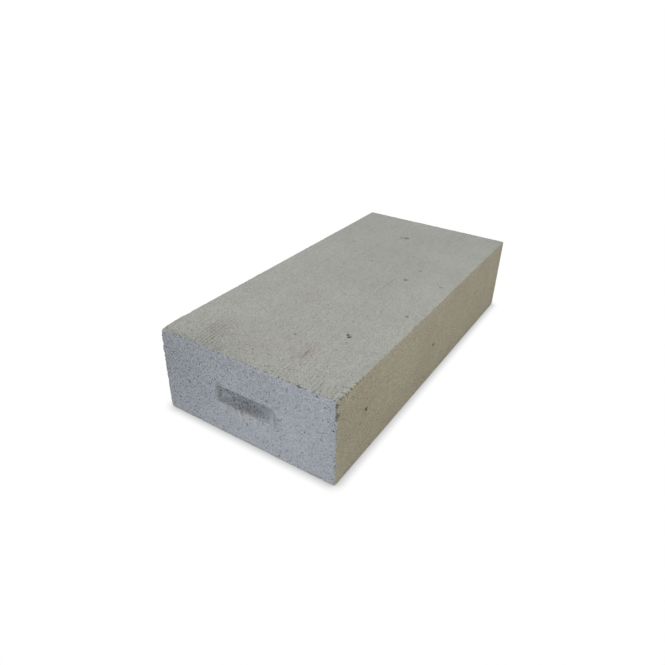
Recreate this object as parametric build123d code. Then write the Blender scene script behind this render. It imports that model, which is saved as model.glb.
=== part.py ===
from build123d import *

import os

# Trench block: one solid cast and wire-cut block of aerated concrete, in millimetres.
# The origin is at the centre of the bottom bed. +X runs along the length, +Z is up.

# Overall size of the block.
length = 620.0
width = 300.0
height = 140.0

# The arrises are rubbed round in handling.
arris_radius = 2.0

# Hand grip in each end face: the slot that a flat disc cutter leaves as it dips into
# the face and travels sideways. Its height is the thickness of the disc.
cutter_radius = 40.0
cutter_travel = 40.0
grip_height = 30.0
grip_depth = 15.0
grip_centre_height = 67.5
grip_rim_radius = 1.0


def plain_block():
    """The block before its grips are cut: a rectangular prism with rubbed arrises."""
    prism = Box(length, width, height, align=(Align.CENTER, Align.CENTER, Align.MIN))
    return fillet(prism.edges(), arris_radius)


def grip_cut(end):
    """What the disc cutter removes at one end: end is -1 for the near one, 1 for the far one."""
    cutter_standoff = cutter_radius - grip_depth
    cutter_centre = (end * (length / 2 + cutter_standoff), 0, grip_centre_height)
    path = SlotCenterToCenter(cutter_travel, 2 * cutter_radius, rotation=90)
    swept_disc = extrude(path, grip_height / 2, both=True)
    return Pos(*cutter_centre) * swept_disc


def ease_rim(block, end):
    """Round the mouth of the grip in one end face."""
    end_face = block.faces().sort_by(Axis.X)[0 if end < 0 else -1]
    mouth = end_face.inner_wires()[0]
    return fillet(mouth.edges(), grip_rim_radius)


def trench_block():
    """The whole block with a hand grip in both end faces."""
    block = plain_block()
    for end in (-1, 1):
        block = ease_rim(block - grip_cut(end), end)
    return block


os.makedirs("parts", exist_ok=True)
export_step(trench_block(), "parts/trench_block.step")
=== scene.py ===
"""Looks of the trench block: one cast block of aerated concrete, porous and worn, on a white floor."""

import itertools
import logging
import math
from dataclasses import dataclass
from enum import Enum
from typing import Optional, Union

import bpy
import numpy as np
from mathutils import Matrix, Vector
from numpy.typing import NDArray

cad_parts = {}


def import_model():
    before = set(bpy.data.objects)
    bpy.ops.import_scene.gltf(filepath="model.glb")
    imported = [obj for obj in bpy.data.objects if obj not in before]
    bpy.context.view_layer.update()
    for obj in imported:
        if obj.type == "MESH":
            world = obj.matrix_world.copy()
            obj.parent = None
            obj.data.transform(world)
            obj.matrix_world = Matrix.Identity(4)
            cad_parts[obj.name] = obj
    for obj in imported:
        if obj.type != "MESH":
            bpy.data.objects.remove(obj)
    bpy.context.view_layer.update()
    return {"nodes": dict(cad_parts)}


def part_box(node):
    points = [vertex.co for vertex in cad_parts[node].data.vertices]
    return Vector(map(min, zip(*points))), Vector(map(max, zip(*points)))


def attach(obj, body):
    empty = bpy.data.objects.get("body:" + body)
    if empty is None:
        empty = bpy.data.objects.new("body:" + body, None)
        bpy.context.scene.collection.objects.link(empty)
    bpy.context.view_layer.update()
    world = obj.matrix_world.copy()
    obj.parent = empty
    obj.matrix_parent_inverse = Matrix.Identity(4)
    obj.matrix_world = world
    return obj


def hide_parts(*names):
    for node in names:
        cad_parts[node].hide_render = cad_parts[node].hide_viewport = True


Points = NDArray[np.float64]
Values = NDArray[np.float64]
Colour = tuple[float, float, float]
Socket = bpy.types.NodeSocket
Feed = Union[Socket, float, Colour]
Feeds = dict[Union[str, int], Feed]
Setting = Union[str, int, float, bool]

MM = 0.001
NODE = "trench_block"
BODY = "root"
SLOT = "aerated_concrete"
WHITE: Colour = (1.0, 1.0, 1.0)

# Large numbers and bit shifts that scramble a lattice cell's coordinates and a seed into one random number.
CELL_FACTORS = (73856093, 19349663, 83492791)
SEED_FACTOR = 265443576
MIX_STEPS = ((16, 0x7FEB352D), (15, 0x846CA68B))
LAST_SHIFT = 16
LOW_BITS = 0xFFFFFFFF
KEY_RANGE = 2.0**32

# How much a noise's seed grows from one octave to the next.
OCTAVE_SEEDS = 31

# The power that shapes the floor of a bubble or a pit: 0.5 is round as a ball, and 1 is a parabola.
BOWL = 0.6

# Lengths that count as nothing, in metres.
HAIR = 1e-9
TOUCH = 1e-5

# How far the colour of a patch reaches, in halves of its size.
PATCH_REACH = 1.3

# The sockets of the mix node that carry colours, by number, because their names repeat.
MIX_INPUTS = (0, 6, 7)
MIX_OUTPUT = 2

log = logging.getLogger("trench_block")


class Side(Enum):
    """The block's faces. Each value is its outward, rightward and downward direction, seen from outside."""

    TOP = ((0, 0, 1), (1, 0, 0), (0, -1, 0))
    BOTTOM = ((0, 0, -1), (1, 0, 0), (0, 1, 0))
    RIGHT = ((0, -1, 0), (1, 0, 0), (0, 0, -1))
    LEFT = ((0, 1, 0), (-1, 0, 0), (0, 0, -1))
    NEAR_END = ((-1, 0, 0), (0, -1, 0), (0, 0, -1))
    FAR_END = ((1, 0, 0), (0, 1, 0), (0, 0, -1))

    @property
    def outward(self) -> Points:
        """The face's outward normal."""
        return np.array(self.value[0], float)

    @property
    def rightward(self) -> Points:
        """The direction to the right along the face."""
        return np.array(self.value[1], float)

    @property
    def downward(self) -> Points:
        """The direction down the face."""
        return np.array(self.value[2], float)


BEDS = (Side.TOP, Side.BOTTOM)
FLANKS = (Side.RIGHT, Side.LEFT)
ENDS = (Side.NEAR_END, Side.FAR_END)


@dataclass(frozen=True)
class BlockBox:
    """The block's outer box, in metres.

    Attributes:
        centre: The middle of the box.
        half: Half the length, width and height.
    """

    centre: Points
    half: Points

    @classmethod
    def of_node(cls, node: str) -> "BlockBox":
        """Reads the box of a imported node."""
        low, high = (np.array(corner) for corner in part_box(node))
        return cls((low + high) / 2, (high - low) / 2)

    def corner(self, side: Side) -> Points:
        """The upper left corner of a face, seen from outside."""
        return self.centre + self.half * (side.outward - side.rightward - side.downward)

    def place(self, side: Side, along: float, down: float) -> Points:
        """The point so far along and so far down a face from its upper left corner, in metres."""
        return self.corner(side) + along * side.rightward + down * side.downward

    def insets(self, points: Points) -> Points:
        """How deep each point lies under the nearer face across X, Y and Z."""
        return self.half - np.abs(points - self.centre)

    def depth(self, side: Side, points: Points) -> Values:
        """How deep each point lies under one face."""
        return (self.corner(side) - points) @ side.outward

    def nearest(self, points: Points, among: tuple[Side, ...]) -> NDArray[np.bool_]:
        """Which points lie nearer to one of these faces than to any other.

        Args:
            points: The points.
            among: The faces.

        Returns:
            True for each point that belongs to them.
        """
        depths = np.stack([self.depth(side, points) for side in Side], 1)
        wanted = np.array([side in among for side in Side])
        return wanted[depths.argmin(1)]


def lattice_random(cells: NDArray[np.int64], seed: int) -> Values:
    """Draws a random number for each cell of a lattice, the same on every run.

    Args:
        cells: Whole-number coordinates, three to a cell.
        seed: Which of many such draws this is.

    Returns:
        Numbers from 0 to 1.
    """
    along, across, up = (cells[:, axis] * factor for axis, factor in enumerate(CELL_FACTORS))
    keys = (along ^ across ^ up) + seed * SEED_FACTOR
    keys = (keys & LOW_BITS).astype(np.uint32)
    for shift, factor in MIX_STEPS:
        keys ^= keys >> np.uint32(shift)
        keys *= np.uint32(factor)
    keys ^= keys >> np.uint32(LAST_SHIFT)
    return keys / KEY_RANGE


@dataclass(frozen=True)
class Noise:
    """A smooth random field in space.

    Attributes:
        seed: Which field it is.
        size: The size of its blobs, in metres.
        octaves: How many finer copies are added, each half as large.
        stretch: How much longer the blobs are along X, Y and Z.
    """

    seed: int
    size: float
    octaves: int = 1
    stretch: tuple[float, float, float] = (1.0, 1.0, 1.0)

    def at(self, points: Points) -> Values:
        """The field's values.

        Args:
            points: Where they are wanted, in metres.

        Returns:
            A value from -1 to 1 for each point.
        """
        spread = points / (self.size * np.array(self.stretch))
        total = np.zeros(len(points))
        weight = 1.0
        whole = 0.0
        for octave in range(self.octaves):
            total += weight * self._layer(spread * 2**octave, self.seed + OCTAVE_SEEDS * octave)
            whole += weight
            weight /= 2
        return total / whole

    @staticmethod
    def _layer(spread: Points, seed: int) -> Values:
        """One layer of the field, with blobs of size 1.

        Args:
            spread: The points, counted in blobs.
            seed: Which layer it is.

        Returns:
            A value from -1 to 1 for each point.
        """
        base = np.floor(spread).astype(np.int64)
        part = spread - base
        part = part * part * (3 - 2 * part)
        value = np.zeros(len(spread))
        for corner in itertools.product((0, 1), repeat=3):
            share = np.prod(np.where(np.array(corner) == 1, part, 1 - part), axis=1)
            value += share * lattice_random(base + corner, seed)
        return 2 * value - 1


@dataclass(frozen=True)
class Varied:
    """A value that changes from place to place.

    Attributes:
        middle: Its usual value.
        swing: How far it goes above and below that.
        noise: The noise that it follows.
    """

    middle: float
    swing: float
    noise: Noise

    def at(self, points: Points) -> Values:
        """The value at each point."""
        return self.middle + self.swing * self.noise.at(points)


@dataclass(frozen=True)
class Bubbles:
    """Gas bubbles in the concrete, at most one to a cell of space, which the cut faces lay open.

    Attributes:
        seed: Which draw of bubbles it is.
        cell: The cell's size, in metres.
        smallest: The smallest radius, in metres.
        largest: The largest radius, in metres.
        share: The share of the cells that hold a bubble.
    """

    seed: int
    cell: float
    smallest: float
    largest: float
    share: float

    def carve(self, points: Points, normals: Points) -> Values:
        """How far each point of a surface sinks into the bubbles that it cuts.

        Args:
            points: Points of the surface.
            normals: Its outward normals there.

        Returns:
            The depth at each point, in metres.
        """
        home = np.floor(points / self.cell).astype(np.int64)
        sunk = np.zeros(len(points))
        for step in itertools.product((-1, 0, 1), repeat=3):
            cells = home + step
            draws = [lattice_random(cells, self.seed + number) for number in range(5)]
            along, across, up, size, luck = draws
            centres = (cells + np.stack([along, across, up], 1)) * self.cell
            radii = self.smallest + (self.largest - self.smallest) * size**2
            away = points - centres
            lift = (away * normals).sum(1)
            opening = radii**2 - lift**2
            beside = (away**2).sum(1) - lift**2
            hit = (luck < self.share) & (opening > 0) & (beside < opening)
            mouth = np.sqrt(opening[hit])
            bowl = (1 - beside[hit] / opening[hit]) ** BOWL
            sunk[hit] = np.maximum(sunk[hit], np.minimum(radii[hit] + lift[hit], mouth) * bowl)
        return sunk


@dataclass(frozen=True)
class Hollow:
    """One pit or chip that shows by itself, placed on a face. All lengths are in millimetres.

    Attributes:
        side: The face that it is on.
        along: Its place to the right of the face's upper left corner.
        down: Its place below that corner.
        length: Its size along the face.
        width: Its size down the face.
        depth: Its depth.
        turn: How far its length is turned from the rightward direction, in degrees.
        unevenness: How far a random value moves its rim, as a share of its size.
    """

    side: Side
    along: float
    down: float
    length: float
    width: float
    depth: float
    turn: float = 0.0
    unevenness: float = 0.45

    def carve(self, points: Points, box: BlockBox, outline: Values) -> Values:
        """How far each point sinks into this hollow.

        Args:
            points: Points of the surface.
            box: The block's box.
            outline: A random value for each point, which makes the hollow's rim uneven.

        Returns:
            The depth at each point, in metres.
        """
        away = (points - box.place(self.side, self.along * MM, self.down * MM)) / MM
        turn = math.radians(self.turn)
        across = away @ self.side.rightward
        below = away @ self.side.downward
        outward = away @ self.side.outward
        long_way = math.cos(turn) * across + math.sin(turn) * below
        wide_way = math.cos(turn) * below - math.sin(turn) * across
        out_way = outward / max(self.length, self.width)
        # Distances count in halves of the sizes, so their squares count four times.
        reach = 4 * ((long_way / self.length) ** 2 + (wide_way / self.width) ** 2 + out_way**2)
        reach *= (1 + self.unevenness * outline) ** 2
        return self.depth * MM * np.clip(1 - reach, 0, None) ** BOWL


def _rounded(insets: Points, radii: Points) -> Points:
    """Rounds an edge or a corner between flat faces.

    Args:
        insets: How deep each point lies under each of the faces that meet there.
        radii: The radius at each point, as a column.

    Returns:
        The new depths, with the edge rounded by that radius.
    """
    short = np.clip(radii - insets, 0, None)
    length = np.linalg.norm(short, axis=1, keepdims=True)
    return np.where(short > 0, radii - short * radii / np.maximum(length, HAIR), insets)


@dataclass(frozen=True)
class WornSpot:
    """A stretch of arris that is rubbed rounder than the rest. All lengths are in millimetres.

    Attributes:
        at: Its place, from -1 to 1 across the box along X, Y and Z.
        reach: How far it extends.
        radius: How much it adds to the arris's radius.
    """

    at: tuple[float, float, float]
    reach: float
    radius: float

    def added(self, points: Points, box: BlockBox) -> Values:
        """What it adds to the arris's radius at each point, in metres."""
        away = np.linalg.norm(points - (box.centre + box.half * np.array(self.at)), axis=1)
        return self.radius * MM * np.exp(-((away / (self.reach * MM)) ** 2))


@dataclass(frozen=True)
class ArrisWear:
    """How the block's arrises are rounded and broken. All lengths are in metres.

    Attributes:
        radius: The radius, which changes along an arris.
        ragged: How much it changes from one grain to the next.
        ragged_noise: The noise that this change follows.
        least: The smallest radius.
        limit: The largest radius.
        loose: How loose the grains beside an arris are, from place to place.
        crumble: The depth to which fairly loose ones have fallen out.
        beside: How far from an arris they have fallen out.
        plain: How torn the arrises are where they are plain.
        torn: How much more torn they are round the top of the near end.
        torn_along: How far from the near end that reaches.
        torn_down: How far from the top it reaches.
        spots: Places that are rubbed rounder.
    """

    radius: Varied = Varied(1.1 * MM, 0.5 * MM, Noise(11, 30 * MM, 2))
    ragged: float = 0.95 * MM
    ragged_noise: Noise = Noise(12, 3.6 * MM, 2)
    least: float = 0.7 * MM
    limit: float = 9.0 * MM
    loose: Varied = Varied(0.1, 1.0, Noise(13, 2.4 * MM, 2))
    crumble: float = 1.3 * MM
    beside: float = 3.5 * MM
    plain: float = 0.55
    torn: float = 1.5
    torn_along: float = 55 * MM
    torn_down: float = 45 * MM
    spots: tuple[WornSpot, ...] = ()

    def raggedness(self, points: Points, box: BlockBox) -> Values:
        """How torn the arrises are: most round the top of the near end.

        Args:
            points: Points of the block's surface.
            box: The block's box.

        Returns:
            A factor for each point.
        """
        from_end = box.depth(Side.NEAR_END, points)
        from_top = box.depth(Side.TOP, points)
        torn = np.exp(-((from_end / self.torn_along) ** 2)) * np.exp(-((from_top / self.torn_down) ** 2))
        return self.plain + self.torn * torn

    def round_off(self, points: Points, box: BlockBox) -> Points:
        """Rounds the arrises by a radius that changes from place to place.

        Args:
            points: Points of the block's surface.
            box: The block's box.

        Returns:
            The moved points.
        """
        inset = box.insets(points)
        near = np.sort(inset, axis=1)[:, 1] < self.limit
        held = points[near]
        radii = self.radius.at(held)
        radii += self.ragged * self.raggedness(held, box) * self.ragged_noise.at(held)
        for spot in self.spots:
            radii += spot.added(held, box)
        radii = np.clip(radii, self.least, self.limit)[:, None]
        kept = _rounded(inset[near], radii)
        moved = points.copy()
        moved[near] = box.centre + np.sign(held - box.centre) * (box.half - kept)
        return moved

    def crumbled(self, points: Points, box: BlockBox) -> Values:
        """How far the points beside the arrises sink where grains have fallen out.

        Args:
            points: Points of the block's surface.
            box: The block's box.

        Returns:
            The depth at each point.
        """
        from_arris = np.sort(box.insets(points), axis=1)[:, 1]
        near = from_arris < self.beside
        held = points[near]
        loose = np.clip(self.loose.at(held), 0, None)
        fade = 1 - from_arris[near] / self.beside
        sunk = np.zeros(len(points))
        sunk[near] = self.crumble * loose * fade * self.raggedness(held, box)
        return sunk


@dataclass(frozen=True)
class Patch:
    """A soft-edged patch of a face, such as a torn place, a stain or a shade. All lengths are in millimetres.

    Attributes:
        side: The face that it is on.
        along: Its place to the right of the face's upper left corner.
        down: Its place below that corner.
        length: Its size along the face.
        width: Its size down the face.
        strength: How strong it is.
        through: Its size into the block, which counts for its colour.
    """

    side: Side
    along: float
    down: float
    length: float
    width: float
    strength: float
    through: float = 30.0

    def share(self, points: Points, box: BlockBox) -> Values:
        """How strongly the patch changes the block's shape.

        Args:
            points: Points of the surface.
            box: The block's box.

        Returns:
            Its strength at each point.
        """
        away = points - box.place(self.side, self.along * MM, self.down * MM)
        along = (away @ self.side.rightward) / (self.length * MM / 2)
        down = (away @ self.side.downward) / (self.width * MM / 2)
        return self.strength * np.exp(-(along**2) - down**2)


def on_both_ends(
    along: float, down: float, length: float, width: float, strength: float, through: float = 30.0
) -> tuple[Patch, ...]:
    """The same patch on both end faces, with a patch's own sizes."""
    return tuple(Patch(end, along, down, length, width, strength, through) for end in ENDS)


WORN_SPOTS = (
    WornSpot(at=(-1, 1, 1), reach=14, radius=4.5),
    WornSpot(at=(-1, -1, 1), reach=13, radius=3.0),
    WornSpot(at=(-1, -1, -1), reach=9, radius=1.5),
    WornSpot(at=(-1, 1, -1), reach=9, radius=1.5),
    WornSpot(at=(1, 1, -1), reach=12, radius=3.0),
    WornSpot(at=(1, -1, -1), reach=9, radius=1.5),
)

TORN_PATCHES = (
    Patch(Side.TOP, along=30, down=72, length=84, width=52, strength=1.2),
    Patch(Side.TOP, along=0, down=110, length=60, width=60, strength=0.45),
    Patch(Side.TOP, along=66, down=60, length=70, width=34, strength=0.5),
    Patch(Side.TOP, along=66, down=209, length=26, width=12, strength=0.7),
    Patch(Side.TOP, along=10, down=205, length=90, width=40, strength=0.45),
    Patch(Side.TOP, along=5, down=262, length=110, width=60, strength=0.32),
    Patch(Side.TOP, along=22, down=288, length=80, width=30, strength=0.6),
)

GRIP_TEARS = on_both_ends(along=136, down=74, length=84, width=60, strength=1.0, through=200)

SMOOTH_RAMPS = on_both_ends(along=193, down=72, length=42, width=62, strength=1.2, through=200)

# Painted shade inside the hand grips: along their floors, at their left ends and along the foot of their back
# walls.
GRIP_SHADES = (
    *on_both_ends(along=138, down=90, length=112, width=14, strength=0.25, through=200),
    *on_both_ends(along=101, down=73, length=10, width=36, strength=0.25, through=200),
    *on_both_ends(along=138, down=83, length=60, width=9, strength=0.2, through=200),
)

STAINS = (
    Patch(Side.TOP, along=52, down=68, length=84, width=36, strength=0.27),
    Patch(Side.TOP, along=62, down=122, length=44, width=60, strength=0.26),
    Patch(Side.TOP, along=80, down=172, length=60, width=44, strength=0.34),
    Patch(Side.TOP, along=40, down=140, length=60, width=40, strength=0.35),
    Patch(Side.TOP, along=66, down=206, length=64, width=40, strength=0.4),
    Patch(Side.TOP, along=215, down=120, length=90, width=50, strength=0.2),
    # The brown dust in each grip's lower part is partly dust, partly painted shade and painted warm light.
    Patch(Side.NEAR_END, along=106, down=83, length=26, width=28, strength=0.42),
    *on_both_ends(along=150, down=90, length=120, width=18, strength=0.5),
)

# Painted shade: darker over the near end's left part and top, the top and long side next to the near end,
# each grip's smooth right end and its lower lip.
PAINTED_SHADES = (
    Patch(Side.NEAR_END, along=0, down=50, length=270, width=280, strength=0.24),
    Patch(Side.NEAR_END, along=116, down=22, length=260, width=110, strength=0.12),
    Patch(Side.TOP, along=0, down=60, length=170, width=170, strength=0.085),
    Patch(Side.RIGHT, along=20, down=40, length=150, width=150, strength=0.06),
    *on_both_ends(along=203, down=76, length=20, width=34, strength=0.16),
    *on_both_ends(along=122, down=89, length=56, width=14, strength=0.12),
)

# Painted light: lighter along the top's edge above the right side, a painted highlight on that arris near the
# near end, and a lighter lower lip in each grip.
PAINTED_LIGHTS = (
    Patch(Side.TOP, along=340, down=268, length=560, width=120, strength=0.045),
    Patch(Side.TOP, along=90, down=262, length=200, width=90, strength=0.03),
    Patch(Side.TOP, along=30, down=297, length=84, width=14, strength=0.13),
    *on_both_ends(along=148, down=93.5, length=118, width=11, strength=0.15, through=8),
)

TOP_PITS = (
    Hollow(Side.TOP, along=139, down=230, length=6.5, width=5.0, depth=3.0, turn=30),
    Hollow(Side.TOP, along=135, down=235, length=7.0, width=6.0, depth=3.4),
    Hollow(Side.TOP, along=120, down=240, length=4.5, width=4.0, depth=1.2),
    Hollow(Side.TOP, along=235, down=276, length=7.0, width=5.5, depth=2.0, turn=20),
    Hollow(Side.TOP, along=225, down=237, length=5.0, width=4.0, depth=1.2),
    Hollow(Side.TOP, along=349, down=217, length=8.0, width=8.5, depth=2.2, turn=60),
    Hollow(Side.TOP, along=396, down=223, length=6.5, width=6.0, depth=1.6),
    Hollow(Side.TOP, along=356, down=279, length=6.0, width=7.5, depth=1.3),
    Hollow(Side.TOP, along=518, down=124, length=8.0, width=9.0, depth=1.6, turn=12),
    Hollow(Side.TOP, along=522, down=134, length=10.0, width=12.0, depth=2.4, turn=-10),
    Hollow(Side.TOP, along=447, down=56, length=8.0, width=8.0, depth=1.2),
    Hollow(Side.TOP, along=596, down=152, length=6.0, width=6.0, depth=1.2),
    Hollow(Side.TOP, along=97, down=168, length=5.0, width=4.5, depth=1.8),
    Hollow(Side.TOP, along=66, down=209, length=28.0, width=4.0, depth=1.1, turn=-9),
)

SCRATCHES = (
    Hollow(Side.TOP, along=308, down=200, length=76, width=3.4, depth=0.8, turn=2),
    Hollow(Side.TOP, along=412, down=102, length=150, width=8.0, depth=0.3, turn=-1),
    Hollow(Side.TOP, along=490, down=216, length=140, width=8.0, depth=0.3, turn=1),
    Hollow(Side.TOP, along=180, down=160, length=90, width=2.6, depth=0.4, turn=-2),
)

SIDE_PITS = (
    Hollow(Side.RIGHT, along=75.5, down=60.5, length=8.5, width=4.6, depth=6.0, turn=30),
    Hollow(Side.RIGHT, along=73, down=66.5, length=3.5, width=3.0, depth=1.2),
    Hollow(Side.RIGHT, along=298, down=75, length=8.5, width=6.0, depth=3.0),
    Hollow(Side.RIGHT, along=338, down=111, length=6.5, width=5.0, depth=1.6),
    Hollow(Side.RIGHT, along=486, down=58, length=6.0, width=4.5, depth=1.3),
)

END_PITS = (
    Hollow(Side.NEAR_END, along=190.5, down=48, length=4.5, width=4.5, depth=1.8),
    Hollow(Side.NEAR_END, along=47, down=74.5, length=5.5, width=5.0, depth=2.2),
    Hollow(Side.NEAR_END, along=295.5, down=48, length=4.5, width=4.0, depth=2.4),
    Hollow(Side.NEAR_END, along=271, down=5, length=6.0, width=5.0, depth=2.2, turn=40),
    Hollow(Side.NEAR_END, along=283, down=17, length=4.0, width=3.5, depth=1.4),
    Hollow(Side.NEAR_END, along=209, down=135, length=4.5, width=4.0, depth=1.8),
    Hollow(Side.NEAR_END, along=154.5, down=103.5, length=4.5, width=3.5, depth=1.4),
    Hollow(Side.NEAR_END, along=224, down=117, length=4.0, width=3.5, depth=1.4),
)

GRIP_RUNOUTS = tuple(
    Hollow(end, along=200, down=73, length=13, width=27, depth=0.7) for end in ENDS
)

ARRIS_CHIPS = (
    Hollow(Side.NEAR_END, along=190.5, down=0, length=5.0, width=4.5, depth=2.2),
    Hollow(Side.NEAR_END, along=228, down=0, length=6.0, width=5.0, depth=2.4),
    Hollow(Side.NEAR_END, along=243.5, down=1.5, length=7.0, width=6.0, depth=3.8),
    Hollow(Side.NEAR_END, along=252.5, down=0.5, length=4.5, width=4.0, depth=1.8),
    Hollow(Side.NEAR_END, along=139, down=0, length=6.0, width=4.0, depth=1.6),
    Hollow(Side.NEAR_END, along=165, down=0, length=5.0, width=3.5, depth=1.6),
    Hollow(Side.NEAR_END, along=57, down=0, length=10.0, width=4.5, depth=1.6),
    Hollow(Side.NEAR_END, along=1, down=25, length=4.5, width=6.0, depth=2.0),
    Hollow(Side.NEAR_END, along=300, down=8.5, length=6.5, width=9.0, depth=3.2),
    Hollow(Side.NEAR_END, along=300, down=25, length=6.5, width=12.0, depth=3.6),
    Hollow(Side.NEAR_END, along=299.5, down=106, length=4.5, width=7.0, depth=1.8),
    Hollow(Side.NEAR_END, along=279, down=139, length=7.0, width=4.5, depth=2.4),
    Hollow(Side.NEAR_END, along=60, down=139.5, length=6.0, width=3.5, depth=1.6),
)

COMB_CHIPS = (
    Hollow(Side.RIGHT, along=9, down=1, length=3.8, width=11.0, depth=2.2, turn=-24),
    Hollow(Side.RIGHT, along=14.5, down=2, length=3.0, width=6.0, depth=1.2, turn=-24),
    Hollow(Side.RIGHT, along=21, down=1, length=4.0, width=12.0, depth=2.3, turn=-28),
    Hollow(Side.RIGHT, along=26.5, down=2, length=3.0, width=6.0, depth=1.2, turn=-20),
    Hollow(Side.RIGHT, along=34, down=1, length=4.0, width=11.0, depth=2.1, turn=-26),
    Hollow(Side.RIGHT, along=40, down=1, length=2.8, width=5.0, depth=1.1, turn=-24),
    Hollow(Side.RIGHT, along=47, down=1.5, length=3.8, width=9.0, depth=2.0, turn=-30),
    Hollow(Side.RIGHT, along=55, down=1, length=3.0, width=5.0, depth=1.2, turn=-24),
    Hollow(Side.RIGHT, along=62, down=1, length=3.2, width=5.0, depth=1.4, turn=-24),
    Hollow(Side.RIGHT, along=151, down=0.5, length=5.0, width=4.0, depth=1.4),
    Hollow(Side.RIGHT, along=214, down=0.5, length=4.0, width=3.5, depth=1.2),
)


@dataclass(frozen=True)
class WireMarks:
    """The ridges that the cutting wire tears along the beds, plainest at the near end. Lengths are in metres.

    Attributes:
        spacing: The distance from ridge to ridge.
        slant: How far they run across the block for each unit of its length.
        depth: The depth between fairly plain ridges.
        reach: How far they run in from the near end.
        reach_share: The share of that to which they run, from place to place.
        at_end: How plain they are at the near end itself.
        torn_share: The share of that which is left, from place to place.
        everywhere: How plain they are on the rest of the bed.
        most: How plain they can be.
        drift: How far they wander sideways, in spacings.
        broken: The share of their depth that is left, from place to place.
        patches: Where they are plainest.
    """

    spacing: float = 5.8 * MM
    slant: float = 0.12
    depth: float = 0.6 * MM
    reach: float = 70 * MM
    reach_share: Varied = Varied(1.0, 0.7, Noise(22, 24 * MM, 2, (4, 1, 1)))
    at_end: float = 1.1
    torn_share: Varied = Varied(0.4, 0.5, Noise(23, 34 * MM, 2, (2, 1, 1)))
    everywhere: float = 0.05
    most: float = 2.0
    drift: Varied = Varied(0.0, 0.55, Noise(24, 24 * MM, 2, (2.5, 1, 1)))
    broken: Varied = Varied(0.75, 0.75, Noise(25, 5.5 * MM, 2, (2, 1, 1)))
    patches: tuple[Patch, ...] = ()

    def strength(self, points: Points, box: BlockBox) -> Values:
        """How plain the ridges are.

        Args:
            points: Points of a bed.
            box: The block's box.

        Returns:
            A value for each point, from 0 to the most that there can be.
        """
        from_end = box.depth(Side.NEAR_END, points)
        reach = self.reach * self.reach_share.at(points)
        torn = np.clip(self.at_end - from_end / reach, 0, 1)
        torn *= np.clip(self.torn_share.at(points), 0, 1)
        for patch in self.patches:
            torn += patch.share(points, box)
        return np.clip(self.everywhere + torn, 0, self.most)

    def carve(self, points: Points, box: BlockBox) -> Values:
        """How far each point of a bed sinks between the ridges.

        Args:
            points: Points of a bed.
            box: The block's box.

        Returns:
            The depth at each point.
        """
        across = points[:, 1] - self.slant * points[:, 0]
        wave = 0.5 + 0.5 * np.cos(2 * math.pi * (across / self.spacing + self.drift.at(points)))
        return self.depth * self.strength(points, box) * wave**2 * self.broken.at(points)


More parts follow.
